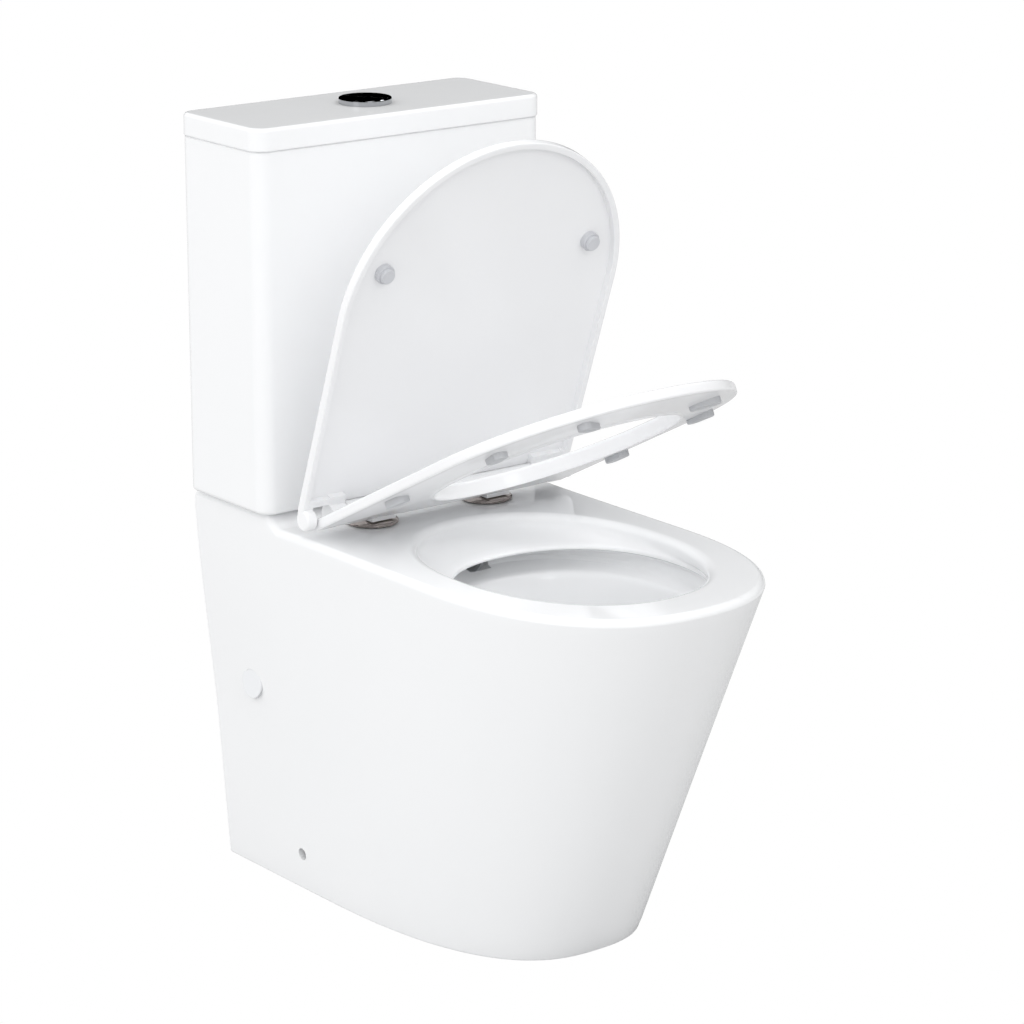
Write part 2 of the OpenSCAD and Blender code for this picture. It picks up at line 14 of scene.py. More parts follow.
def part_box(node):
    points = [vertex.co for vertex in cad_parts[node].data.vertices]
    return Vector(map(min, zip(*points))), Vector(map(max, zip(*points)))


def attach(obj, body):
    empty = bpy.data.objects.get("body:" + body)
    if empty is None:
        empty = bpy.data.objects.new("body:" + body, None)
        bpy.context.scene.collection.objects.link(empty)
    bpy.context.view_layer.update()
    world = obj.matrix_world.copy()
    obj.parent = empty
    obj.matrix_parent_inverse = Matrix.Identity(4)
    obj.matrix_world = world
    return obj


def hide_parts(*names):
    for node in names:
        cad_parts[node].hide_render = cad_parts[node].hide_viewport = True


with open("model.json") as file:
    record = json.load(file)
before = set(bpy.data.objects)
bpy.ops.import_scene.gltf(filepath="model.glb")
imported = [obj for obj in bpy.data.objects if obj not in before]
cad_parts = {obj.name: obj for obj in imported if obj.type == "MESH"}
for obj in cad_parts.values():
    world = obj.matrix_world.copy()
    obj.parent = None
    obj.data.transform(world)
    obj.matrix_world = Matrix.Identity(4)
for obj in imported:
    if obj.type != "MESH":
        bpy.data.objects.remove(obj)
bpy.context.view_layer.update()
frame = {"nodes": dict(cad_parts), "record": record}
nodes = frame["nodes"]
MM = 0.001
FULL = 2 * math.pi


def joint_place(name):
    for joint in frame["record"]["behaviour"]["joints"]:
        if joint["name"] == name:
            return Vector(joint["pos_m"]) / MM
    raise KeyError(name)


def box_mm(node):
    low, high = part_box(node)
    return Vector(low) / MM, Vector(high) / MM


PAN_LOW, PAN_HIGH = box_mm("pan")
TANK_LOW, TANK_HIGH = box_mm("cistern_tank")
COVER_LOW, COVER_HIGH = box_mm("cistern_lid")
AXIS = joint_place("seat_turn")
BACK = PAN_HIGH.y
FRONT = PAN_LOW.y
LEDGE_Z = PAN_HIGH.z
LEDGE_RISE = 13
RIM_Z = LEDGE_Z - LEDGE_RISE
SEAT_ANGLE = math.radians(27)
LID_ANGLE = math.radians(70.5)


# ---------------------------------------------------------------- mesh tools
def smooth_step(a, b, value):
    t = min(1, max(0, (value - a) / (b - a)))
    return t * t * (3 - 2 * t)


def mix(a, b, t):
    return a + (b - a) * t


def signed_power(value, power):
    return math.copysign(abs(value) ** power, value)


def loop_normals(loop):
    """Inward unit normals and mitre factors of a counter-clockwise loop of (x, y)."""
    out = []
    count = len(loop)
    for i in range(count):
        before = Vector(loop[i - 1][:2])
        here = Vector(loop[i][:2])
        after = Vector(loop[(i + 1) % count][:2])
        first = (here - before).normalized()
        second = (after - here).normalized()
        n1 = Vector((-first.y, first.x))
        n2 = Vector((-second.y, second.x))
        middle = (n1 + n2)
        middle = middle.normalized() if middle.length > 1e-6 else n1
        out.append(middle / max(0.35, middle.dot(n1)))
    return out


def inset(loop, distance, normals=None):
    normals = normals or loop_normals(loop)
    return [(p[0] + n.x * distance, p[1] + n.y * distance) for p, n in zip(loop, normals)]


def at_height(loop, z):
    return [(p[0], p[1], z) for p in loop]


class Builder:
    """Collects vertices and faces in millimetres, then makes an object in metres."""

    def __init__(self):
        self.verts = []
        self.faces = []

    def add_ring(self, points):
        start = len(self.verts)
        self.verts.extend(points)
        return list(range(start, start + len(points)))

    def bridge(self, low, high, closed=True):
        count = len(low)
        steps = count if closed else count - 1
        for j in range(steps):
            k = (j + 1) % count
            self.faces.append((low[j], low[k], high[k], high[j]))

    def stack(self, rings, first_cap=False, last_cap=False):
        """Faces look outward for counter-clockwise rings that run from the bottom up."""
        ids = [self.add_ring(ring) for ring in rings]
        for low, high in zip(ids, ids[1:]):
            self.bridge(low, high)
        if first_cap:
            self.faces.append(tuple(reversed(ids[0])))
        if last_cap:
            self.faces.append(tuple(ids[-1]))
        return ids

    def grid(self, rows):
        ids = [self.add_ring(row) for row in rows]
        for low, high in zip(ids, ids[1:]):
            self.bridge(low, high, closed=False)
        return ids

    def mesh(self, name, move=None):
        bm = bmesh.new()
        verts = [bm.verts.new(v) for v in self.verts]
        for face in self.faces:
            try:
                bm.faces.new([verts[i] for i in face])
            except ValueError:
                continue
        bmesh.ops.dissolve_degenerate(bm, edges=bm.edges, dist=1e-4)
        bmesh.ops.recalc_face_normals(bm, faces=bm.faces)
        matrix = Matrix.Scale(MM, 4) @ (move or Matrix())
        bmesh.ops.transform(bm, matrix=matrix, verts=bm.verts)
        data = bpy.data.meshes.new(name)
        bm.to_mesh(data)
        bm.free()
        return data


def make_object(name, data):
    obj = bpy.data.objects.new(name, data)
    bpy.context.scene.collection.objects.link(obj)
    return obj


SHARP_ANGLE = math.radians(32)


def finish_mesh(obj):
    data = obj.data
    for polygon in data.polygons:
        polygon.use_smooth = True
    data.set_sharp_from_angle(angle=SHARP_ANGLE)
    weighted = obj.modifiers.new("weighted", "WEIGHTED_NORMAL")
    weighted.keep_sharp = True
    weighted.weight = 60


def boolean(obj, builder, operation):
    """Adds the builder's solids to obj, or cuts them from it."""
    cutter = make_object("cutter", builder.mesh("cutter"))
    mod = obj.modifiers.new("cut", "BOOLEAN")
    mod.operation = operation
    mod.object = cutter
    mod.solver = "EXACT"
    mod.use_self = True
    graph = bpy.context.evaluated_depsgraph_get()
    result = bpy.data.meshes.new_from_object(obj.evaluated_get(graph))
    obj.modifiers.remove(mod)
    obj.data = result
    bpy.data.objects.remove(cutter)


def place(obj, body, slot, *replaced):
    """Gives an object its slot's material and its body, and hides the CAD nodes it stands in for."""
    obj.data.materials.clear()
    obj.data.materials.append(MATERIALS[slot])
    finish_mesh(obj)
    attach(obj, body)
    if replaced:
        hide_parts(*replaced)


# ---------------------------------------------------------------- outlines
def super_point(half_x, half_y, power, angle):
    c, s = math.cos(angle), math.sin(angle)
    return half_x * signed_power(c, 2 / power), half_y * signed_power(s, 2 / power)


def super_polar(half_x, half_y, power, angle):
    c, s = abs(math.cos(angle)) / half_x, abs(math.sin(angle)) / half_y
    radius = (c ** power + s ** power) ** (-1 / power)
    return radius * math.cos(angle), radius * math.sin(angle)


def u_outline(half, y_back, y_mid, y_front, power, arc, side=40, back=60):
    """Counter-clockwise: back edge from right to left, left side, rounded front, right side."""
    loop = [(mix(half, -half, i / back), y_back) for i in range(back)]
    loop += [(-half, mix(y_back, y_mid, i / side)) for i in range(side)]
    for i in range(arc):
        x, y = super_point(half, y_mid - y_front, power, math.pi * (1 + i / arc))
        loop.append((x, y_mid + y))
    loop += [(half, mix(y_mid, y_back, i / side)) for i in range(side)]
    return loop


def rounded_rect(low, high, radii, steps=14, fill=8):
    """radii: front left, front right, back right, back left. Counter-clockwise."""
    corners = [
        (low[0], low[1], 1, 1, math.pi, radii[0]),
        (high[0], low[1], -1, 1, 1.5 * math.pi, radii[1]),
        (high[0], high[1], -1, -1, 0.0, radii[2]),
        (low[0], high[1], 1, -1, 0.5 * math.pi, radii[3]),
    ]
    loop = []
    for x, y, sx, sy, start, r in corners:
        cx, cy = x + sx * r, y + sy * r
        arc = [(cx + r * math.cos(start + 0.5 * math.pi * i / steps),
                cy + r * math.sin(start + 0.5 * math.pi * i / steps)) for i in range(steps + 1)]
        if loop:
            x0, y0 = loop[-1]
            loop += [(mix(x0, arc[0][0], i / fill), mix(y0, arc[0][1], i / fill)) for i in range(1, fill)]
        loop += arc
    x0, y0 = loop[-1]
    x1, y1 = loop[0]
    loop += [(mix(x0, x1, i / fill), mix(y0, y1, i / fill)) for i in range(1, fill)]
    return loop


def circle(radius, count=64, centre=(0, 0)):
    return [(centre[0] + radius * math.cos(FULL * i / count), centre[1] + radius * math.sin(FULL * i / count))
            for i in range(count)]


def capsule(half_long, radius, steps=12):
    """Outline with round ends, lying along Y."""
    loop = []
    for start, y in ((0, half_long), (math.pi, -half_long)):
        for i in range(steps + 1):
            angle = start + math.pi * i / steps
            loop.append((radius * math.cos(angle), y + radius * math.sin(angle)))
    return loop


def rounding(radius, steps=6, rising=True):
    """(inset, height) pairs of a quarter round: from the side up to the top, or from the bottom up."""
    out = []
    for i in range(steps + 1):
        a = 0.5 * math.pi * i / steps
        if rising:
            out.append((radius * (1 - math.cos(a)), radius * math.sin(a)))
        else:
            out.append((radius * (1 - math.sin(a)), radius * (1 - math.cos(a))))
    return out


def lathe(builder, profile, centre, turn=None, count=64):
    """profile: (radius, height) from the bottom up; a radius of 0 closes the end."""
    rings = []
    for radius, z in profile:
        ring = [Vector((x, y, z)) for x, y in circle(max(radius, 0.01), count)]
        if turn is not None:
            ring = [turn @ v for v in ring]
        rings.append([tuple(Vector(centre) + v) for v in ring])
    builder.stack(rings, True, True)


def box_solid(builder, low, high):
    loop = [(low[0], low[1]), (high[0], low[1]), (high[0], high[1]), (low[0], high[1])]
    builder.stack([at_height(loop, low[2]), at_height(loop, high[2])], True, True)


TO_X = Matrix.Rotation(math.radians(90), 3, "Y")
TO_Y = Matrix.Rotation(math.radians(-90), 3, "X")


def span(side, near, far):
    """Both ends of a stretch of X on one side, the lower first."""
    return sorted((side * near, side * far))


def rod_x(builder, x0, x1, radius, y=0.0, z=0.0, soft=0.0, count=96):
    """Rod along X from x0 to x1, with its ends rounded by soft."""
    length = x1 - x0
    profile = [(radius, 0), (radius, length)]
    if soft:
        profile = [(radius - d, h) for d, h in rounding(soft, 5, rising=False)]
        profile += [(radius - d, length - soft + h) for d, h in rounding(soft, 5)]
    lathe(builder, profile, (x0, y, z), TO_X, count)


# ---------------------------------------------------------------- materials
def new_material(name):
    mat = bpy.data.materials.new(name)
    mat.use_nodes = True
    tree = mat.node_tree
    return mat, tree, tree.nodes["Principled BSDF"]


def noise(tree, scale, detail):
    coords = tree.nodes.new("ShaderNodeTexCoord")
    node = tree.nodes.new("ShaderNodeTexNoise")
    node.inputs["Scale"].default_value = scale
    node.inputs["Detail"].default_value = detail
    tree.links.new(coords.outputs["Object"], node.inputs["Vector"])
    return node


def ramp(tree, source, low, high):
    node = tree.nodes.new("ShaderNodeMapRange")
    node.inputs["From Min"].default_value = 0.3
    node.inputs["From Max"].default_value = 0.7
    node.inputs["To Min"].default_value = low
    node.inputs["To Max"].default_value = high
    tree.links.new(source, node.inputs["Value"])
    return node.outputs["Result"]


def tint(tree, source, low, high):
    node = tree.nodes.new("ShaderNodeMix")
    node.data_type = "RGBA"
    node.inputs[6].default_value = (*low, 1)
    node.inputs[7].default_value = (*high, 1)
    tree.links.new(source, node.inputs[0])
    return node.outputs[2]


def bump(tree, shader, source, strength, distance):
    node = tree.nodes.new("ShaderNodeBump")
    node.inputs["Strength"].default_value = strength
    node.inputs["Distance"].default_value = distance
    tree.links.new(source, node.inputs["Height"])
    tree.links.new(node.outputs["Normal"], shader.inputs["Normal"])


def mottled(name, dark, light, rough, metallic=0.0, scale=40.0, bump_scale=220.0, bump_strength=0.1,
            depth=0.0002):
    """Shared recipe: soft colour drift, uneven gloss and a fine surface texture."""
    mat, tree, shader = new_material(name)
    drift = noise(tree, scale, 4.0)
    tree.links.new(tint(tree, drift.outputs["Fac"], dark, light), shader.inputs["Base Color"])
    tree.links.new(ramp(tree, drift.outputs["Fac"], rough[0], rough[1]), shader.inputs["Roughness"])
    shader.inputs["Metallic"].default_value = metallic
    bump(tree, shader, noise(tree, bump_scale, 2.0).outputs["Fac"], bump_strength, depth)
    return mat


def ceramic():
    return mottled("china", (0.915, 0.925, 0.935), (0.935, 0.94, 0.95), (0.07, 0.12), scale=5.0,
                   bump_scale=14.0, bump_strength=0.06, depth=0.002)


def gloss_plastic(name, dark, light):
    return mottled(name, dark, light, (0.13, 0.19), scale=9.0, bump_scale=60.0, bump_strength=0.03,
                   depth=0.0005)


def brushed(name, dark, light):
    """Metal with a fine grain across X."""
    mat, tree, shader = new_material(name)
    coords = tree.nodes.new("ShaderNodeTexCoord")
    stretch = tree.nodes.new("ShaderNodeMapping")
    stretch.inputs["Scale"].default_value = (30, 400, 400)
    grain = tree.nodes.new("ShaderNodeTexNoise")
    grain.inputs["Scale"].default_value = 6.0
    tree.links.new(coords.outputs["Object"], stretch.inputs["Vector"])
    tree.links.new(stretch.outputs["Vector"], grain.inputs["Vector"])
    tree.links.new(tint(tree, grain.outputs["Fac"], dark, light), shader.inputs["Base Color"])
    tree.links.new(ramp(tree, grain.outputs["Fac"], 0.22, 0.34), shader.inputs["Roughness"])
    shader.inputs["Metallic"].default_value = 1.0
    bump(tree, shader, grain.outputs["Fac"], 0.08, 0.0001)
    return mat


MATERIALS = {
    "china": ceramic(),
    "seat_plastic": gloss_plastic("seat_plastic", (0.915, 0.92, 0.935), (0.935, 0.94, 0.95)),
    "cap_plastic": gloss_plastic("cap_plastic", (0.82, 0.84, 0.86), (0.86, 0.87, 0.89)),
    "black_rubber": mottled("black_rubber", (0.015, 0.015, 0.017), (0.03, 0.03, 0.032), (0.55, 0.75)),
    "red_rubber": mottled("red_rubber", (0.30, 0.03, 0.02), (0.38, 0.04, 0.03), (0.5, 0.65)),
    "bumper_white": mottled("bumper_white", (0.50, 0.51, 0.53), (0.58, 0.59, 0.61), (0.35, 0.5)),
    "bumper_grey": mottled("bumper_grey", (0.60, 0.61, 0.64), (0.66, 0.67, 0.70), (0.35, 0.5)),
    "valve_plastic": mottled("valve_plastic", (0.66, 0.68, 0.70), (0.72, 0.74, 0.76), (0.32, 0.45)),
    "float_plastic": mottled("float_plastic", (0.56, 0.57, 0.59), (0.63, 0.64, 0.66), (0.35, 0.5)),
    "blue_plastic": mottled("blue_plastic", (0.03, 0.12, 0.34), (0.04, 0.15, 0.40), (0.3, 0.42)),
    "damper_plastic": mottled("damper_plastic", (0.05, 0.05, 0.055), (0.07, 0.07, 0.075), (0.4, 0.5)),
    "bracket_plastic": mottled("bracket_plastic", (0.50, 0.51, 0.53), (0.58, 0.59, 0.61), (0.45, 0.6)),
    "chrome": mottled("chrome", (0.50, 0.51, 0.53), (0.58, 0.59, 0.61), (0.03, 0.07), metallic=1.0,
                      scale=30.0, bump_strength=0.01),
    "button_chrome": mottled("button_chrome", (0.50, 0.51, 0.53), (0.58, 0.59, 0.61), (0.03, 0.07),
                             metallic=1.0, scale=30.0, bump_strength=0.01),
    "hinge_steel": mottled("hinge_steel", (0.52, 0.46, 0.43), (0.64, 0.58, 0.55), (0.10, 0.18),
                           metallic=0.8, scale=60.0, bump_strength=0.02),
    "stainless": brushed("stainless", (0.50, 0.50, 0.51), (0.62, 0.62, 0.63)),
    "brass": brushed("brass", (0.60, 0.42, 0.16), (0.70, 0.52, 0.24)),
}
SLOT_OF = {item["node"]: item["material_slot"] for item in frame["record"]["subparts"]}
for node_name, node_obj in nodes.items():
    for material_slot in node_obj.material_slots:
        material_slot.material = MATERIALS[SLOT_OF[node_name]]


# ---------------------------------------------------------------- pan
FOOT_HALF, RIM_HALF = 144.5, 175.5
FOOT_MID, RIM_MID = FRONT + 479.5, FRONT + 241
FOOT_FRONT, RIM_FRONT = FRONT + 170, FRONT
EDGE = 8
EDGE_Z = RIM_Z - EDGE
FIXED_Y = 187.0  # side samples behind this keep their place at every height
DECK_Y = 100.0   # the flat rim in front of this is joined to the bowl opening
ACROSS = 30


def side_stations():
    behind = [BACK - d for d in (2.2, 6, 14, 28, 46, 66, 86, 104, 118, 128)]
    slope = [FIXED_Y + 8 - 1.6 * i for i in range(20)]
    ahead = [160, 152, 142, 130, 118, 108, DECK_Y]
    front = [mix(DECK_Y, RIM_MID, (i + 1) / 18) for i in range(18)]
    return behind + slope + ahead + front


STATIONS = side_stations()
ARC = 150


def ledge_top(y):
    return RIM_Z + LEDGE_RISE * smooth_step(171, 194, y)


def pan_half(z, y):
    flare = 5.5 * smooth_step(150, 380, z) * smooth_step(70, 290, y)
    return mix(FOOT_HALF, RIM_HALF, min(1, z / EDGE_Z)) + flare


def pan_loop(share):
    """Ring of the outer wall at a share of its height, counter-clockwise from the back left."""
    points = []

    def side(sign, station):
        z = share * (ledge_top(station) - EDGE)
        t = min(1, z / EDGE_Z)
        mid = mix(FOOT_MID, RIM_MID, t)
        y = station
        if station < FIXED_Y:
            y = FIXED_Y + (station - FIXED_Y) * (FIXED_Y - mid) / (FIXED_Y - RIM_MID)
        points.append((sign * pan_half(z, y), y, z))

    def corner(sign, order):
        z = share * (ledge_top(BACK) - EDGE)
        half = pan_half(z, BACK)
        spots = [(half - 2.2, BACK), (half - 0.6, BACK - 0.6)]
        for x, y in spots[::order]:
            points.append((sign * x, y, z))

    corner(-1, 1)
    for station in STATIONS:
        side(-1, station)
    z = share * EDGE_Z
    mid, front = mix(FOOT_MID, RIM_MID, share), mix(FOOT_FRONT, RIM_FRONT, share)
    power = mix(2.65, 2.35, share)
    for i in range(1, ARC):
        x, y = super_point(mix(FOOT_HALF, RIM_HALF, share), mid - front, power, math.pi * (1 + i / ARC))
        points.append((x, mid + y, z))
    for station in reversed(STATIONS):
        side(1, station)
    corner(1, -1)
    z = share * (ledge_top(BACK) - EDGE)
    half = pan_half(z, BACK) - 2.2
    points += [(mix(half, -half, (i + 1) / (ACROSS + 1)), BACK, z) for i in range(ACROSS)]
    return points


def raised(ring, normals, distance, lift):
    return [(p[0] + n.x * distance, p[1] + n.y * distance, p[2] + lift) for p, n in zip(ring, normals)]


# The fillet round the bowl's opening, and how much of a ring's rear drop is used
FILLET_W, FILLET_H = 11, 7.6
OPENING = (129 + FILLET_W, 81 + FILLET_W, -265 - FILLET_W, 2.15)
REAR_DROP = 0.2
# Rings of the bowl: half width, rear y, front y, exponent, z, drop at the rear
BOWL = [
    (129.0, 81, -265.0, 2.15, 413, 0),
    (128.8, 78, -264.8, 2.15, 410.5, -0.8),
    (128.5, 70, -264.6, 2.15, 408, -2),
    (128.3, 56, -264.4, 2.15, 406, -3.5),
    (128.0, 40, -264.3, 2.16, 404.6, -5),
    (127.7, 25, -264.2, 2.18, 403.6, -6),
    (127.3, 13, -264.0, 2.2, 402.8, -7),
    (126.8, 9, -263.9, 2.2, 401.5, -7.4),
    (126.6, 7.6, -263.8, 2.2, 399.8, -7.8),
    (126.9, 8, -263.8, 2.2, 398.2, -8.2),
    (128.2, 11, -263.8, 2.2, 397, -8.6),
    (131.5, 22, -264.0, 2.2, 395.4, -8.8),
    (134.5, 38, -264.0, 2.2, 392.5, -8.6),
    (136.0, 50, -264.0, 2.2, 387.5, -7.6),
    (136.0, 54, -263.8, 2.2, 381.5, -6),
    (134.0, 51, -263.4, 2.2, 376.5, -4),
    (130.0, 40, -262.8, 2.2, 373.2, -2.6),
    (126.0, 27, -262.0, 2.2, 371.4, -1.4),
    (123.6, 20, -261.2, 2.2, 370.2, -0.8),
    (122.0, 17, -260.0, 2.2, 368, 0),
    (120.6, 15, -257.5, 2.2, 364, 0),
    (117.5, 11, -250.5, 2.2, 352, 0),
    (113.0, 8, -241.0, 2.18, 337, 0),
    (107.5, 5, -228.0, 2.15, 318, 0),
    (100.5, 4, -212.0, 2.12, 297, 0),
    (92.0, 5, -192.0, 2.1, 274, 0),
    (82.0, 8, -168.0, 2.1, 248, 0),
    (71.0, 13, -141.0, 2.1, 221, 0),
    (59.0, 19, -112.0, 2.1, 196, 0),
    (49.0, 26, -88.0, 2.1, 174, 0),
    (41.0, 31, -72.0, 2.1, 157, 0),
    (34.0, 31, -62.0, 2.1, 145, 0),
    (24.0, 22, -50.0, 2.1, 137, 0),
    (12.0, 6, -34.0, 2.1, 133, 0),
]
# The bowl's outside, seen from below: the same values without a drop
BOWL_OUTSIDE = [
    (140, 96, -277, 2.15, 404.5),
    (142, 84, -277, 2.15, 396),
    (145, 70, -276, 2.2, 384),
    (143, 64, -275, 2.2, 372),
    (134, 40, -270, 2.2, 358),
    (122, 22, -250, 2.2, 330),
    (109, 15, -220, 2.15, 292),
    (92, 17, -178, 2.1, 246),
    (70, 28, -122, 2.1, 192),
    (52, 40, -84, 2.1, 152),
    (38, 38, -68, 2.1, 132),
    (14, 12, -36, 2.1, 121),
]


def bowl_loop(spec, angles):
    half, rear, front, power = spec[:4]
    centre = (rear + front) / 2
    out = []
    for angle in angles:
        x, y = super_polar(half, (rear - front) / 2, power, angle)
        z = spec[4] + (REAR_DROP * spec[5] * max(0, math.sin(angle)) ** 2 if len(spec) > 5 else 0)
        out.append((x, centre + y, z))
    return out


def pan_body():
    b = Builder()
    wall = [pan_loop(i / 36) for i in range(37)]
    top = wall[-1]
    normals = loop_normals(top)
    foot_normals = loop_normals(wall[0])
    foot = [raised(wall[0], foot_normals, d, h) for d, h in rounding(2.0, 4, rising=False)]
    wall[0] = [(p[0], p[1], 2.0) for p in wall[0]]
    crown = [raised(top, normals, d, h) for d, h in rounding(EDGE, 8)]
    under = [raised(foot[0], foot_normals, 10, 0)]
    inner_heights = (60, 150, 250, 340, 404.5)
    for z in inner_heights:
        ring = pan_loop(z / (LEDGE_Z - EDGE))
        wide = 12 if z < 400 else 24
        ring_normals = loop_normals(ring)
        under.append([(p[0] + n.x * wide, p[1] + n.y * wide, z) for p, n in zip(ring, ring_normals)])
    under_ids = b.stack(list(reversed(under)))
    rest_ids = b.stack(foot + wall + crown[1:])
    b.bridge(under_ids[-1], rest_ids[0])
    ceiling = under_ids[0]

    # Rim and ledge: a grid behind DECK_Y, and rings round the opening in front of it
    edge = crown[-1]
    edge_ids = rest_ids[-1]
    lead = 2
    rows_count = lead + STATIONS.index(DECK_Y) + 1
    total = len(edge)
    last_side = total - ACROSS - 1
    rows = []
    for r in range(rows_count):
        left, right = edge[r], edge[last_side - r]
        if r == 0:
            middle_ids = list(reversed(edge_ids[last_side + 1:]))
        else:
            y = left[1]
            middle = [(mix(left[0], right[0], (i + 1) / (ACROSS + 1)), y, ledge_top(y))
                      for i in range(ACROSS)]
            middle_ids = b.add_ring(middle)
        rows.append([edge_ids[r]] + middle_ids + [edge_ids[last_side - r]])
    for back_row, front_row in zip(rows, rows[1:]):
        b.bridge(front_row, back_row, closed=False)
    front_left = rows_count - 1
    outer = edge_ids[front_left:last_side - rows_count + 2] + list(reversed(rows[-1][1:-1]))
    centre = (OPENING[1] + OPENING[2]) / 2
    angles = [math.atan2(b.verts[i][1] - centre, b.verts[i][0]) for i in outer]
    half_long = (OPENING[1] - OPENING[2]) / 2
    lip = []
    for angle in angles:
        x, y = super_polar(OPENING[0], half_long, OPENING[3], angle)
        lip.append((x, centre + y, RIM_Z))
    flat = []
    for t in (0.45, 0.85):
        flat.append([(mix(b.verts[i][0], p[0], t), mix(b.verts[i][1], p[1], t), RIM_Z)
                     for i, p in zip(outer, lip)])
    rings = flat + [lip]
    for i in range(1, 8):
        a = 0.5 * math.pi * i / 8
        pulled = FILLET_W * math.sin(a)
        spec = (OPENING[0] - pulled, OPENING[1] - pulled, OPENING[2] + pulled,
                OPENING[3], RIM_Z - FILLET_H * (1 - math.cos(a)))
        rings.append(bowl_loop(spec, angles))
    rings += [bowl_loop(spec, angles) for spec in BOWL]
    ids = [outer] + [b.add_ring(ring) for ring in rings]
    for a_ids, b_ids in zip(ids, ids[1:]):
        b.bridge(a_ids, b_ids)
    b.faces.append(tuple(ids[-1]))

    # Bowl seen from below, joined to the inner walls by a level ceiling
    shell = [b.add_ring(bowl_loop(spec, angles)) for spec in BOWL_OUTSIDE]
    for a_ids, b_ids in zip(shell, shell[1:]):
        b.bridge(a_ids, b_ids)
    b.faces.append(tuple(shell[-1]))
    return b, ceiling, shell[0]


def pan_mesh():
    b, ceiling, shell = pan_body()
    bm = bmesh.new()
    verts = [bm.verts.new(v) for v in b.verts]
    for face in b.faces:
        bm.faces.new([verts[i] for i in face])
    edges = []
    for ring in (ceiling, shell):
        for j, i in enumerate(ring):
            edges.append(bm.edges.get((verts[i], verts[ring[(j + 1) % len(ring)]])))
    bmesh.ops.triangle_fill(bm, edges=edges, use_beauty=True, normal=(0, 0, -1))
    bmesh.ops.recalc_face_normals(bm, faces=bm.faces)
    bmesh.ops.scale(bm, vec=(MM, MM, MM), verts=bm.verts)
    data = bpy.data.meshes.new("pan_body")
    bm.to_mesh(data)
    bm.free()
    return data


# The waste way's bends: y, z, added radius, tilt in degrees
TRAP = [(-5, 150, 0, 0), (36, 151, 0, 12), (60, 170, 0, 46), (82, 195, 0, 40), (104, 205, 0, 0),
        (128, 200, 0, -26), (152, 188, 4, -24), (176, 180, 11, -6), (196, 180, 15, 0), (285.8, 180, 15, 0)]
WAY_OUTER, WAY_INNER = 36, 27
DUCT_START, DUCT_LONG = Vector((0, 60, 379)), 190
DUCT_OUTER, DUCT_INNER = 24, 15


def trap_rings(radius, widen, start=0):
    """Rings of the waste pipe along a smooth curve through its bends."""
    rings = []
    count = 48
    steps = 6
    spots = TRAP[start:]
    for k in range(len(spots) - 1):
        p0, p1 = spots[max(k - 1, 0)], spots[k]
        p2, p3 = spots[k + 1], spots[min(k + 2, len(spots) - 1)]
        for s in range(steps):
            t = s / steps
            mixed = [0.5 * (2 * p1[c] + (p2[c] - p0[c]) * t
                            + (2 * p0[c] - 5 * p1[c] + 4 * p2[c] - p3[c]) * t * t
                            + (3 * p1[c] - p0[c] - 3 * p2[c] + p3[c]) * t * t * t) for c in range(4)]
            rings.append(mixed)
    rings.append(list(spots[-1]))
    out = []
    for y, z, wide, tilt in rings:
        r = radius + wide * widen
        lean = math.radians(tilt)
        ring = []
        for i in range(count):
            a = FULL * i / count
            up = r * math.sin(a)
            ring.append((-r * math.cos(a), y - up * math.sin(lean), z + up * math.cos(lean)))
        out.append(ring)
    return out


HINGE_X, HINGE_Y = 77.5, BACK - 190
FIX_Y, FIX_Z = BACK - 149, 42.5
CAP_Y, CAP_Z = BACK - 81, 228.0


def build_pan():
    obj = make_object("pan_body", pan_mesh())
    cut = Builder()
    box_solid(cut, (-118, BACK - 24, -10), (118, BACK + 10, 369))
    box_solid(cut, (-152, 183, 398), (152, BACK - 12, 420))
    for side in (-1, 1):
        rod_x(cut, *span(side, 120, 200), 7, FIX_Y, FIX_Z)
        rod_x(cut, *span(side, 120, 200), 15, CAP_Y, CAP_Z)
    cut.stack(trap_rings(WAY_INNER, 1)[:16], True, True)
    lathe(cut, [(DUCT_INNER, 0), (DUCT_INNER, 60)], (0, 44, DUCT_START.z), TO_Y)
    boolean(obj, cut, "DIFFERENCE")
    place(obj, "suite", "china", "pan")

    pipe = Builder()
    outer = trap_rings(WAY_OUTER, 1, start=1)
    inner = trap_rings(WAY_INNER, 1.27, start=1)
    ids = pipe.stack(outer)
    inside = [pipe.add_ring(ring) for ring in reversed(inner)]
    for low, high in zip(inside, inside[1:]):
        pipe.bridge(low, high)
    pipe.bridge(ids[-1], inside[0])
    pipe.bridge(inside[-1], ids[0])
    place(make_object("waste_way", pipe.mesh("waste_way")), "suite", "china")

    duct = Builder()
    rings = []
    for radius, along in ((DUCT_OUTER, 0), (DUCT_OUTER, DUCT_LONG), (DUCT_INNER, DUCT_LONG), (DUCT_INNER, 0)):
        rings.append([tuple(DUCT_START + TO_Y @ Vector((x, y, along))) for x, y in circle(radius, 48)])
    ids = duct.stack(rings)
    duct.bridge(ids[-1], ids[0])
    place(make_object("flush_duct", duct.mesh("flush_duct")), "suite", "china")


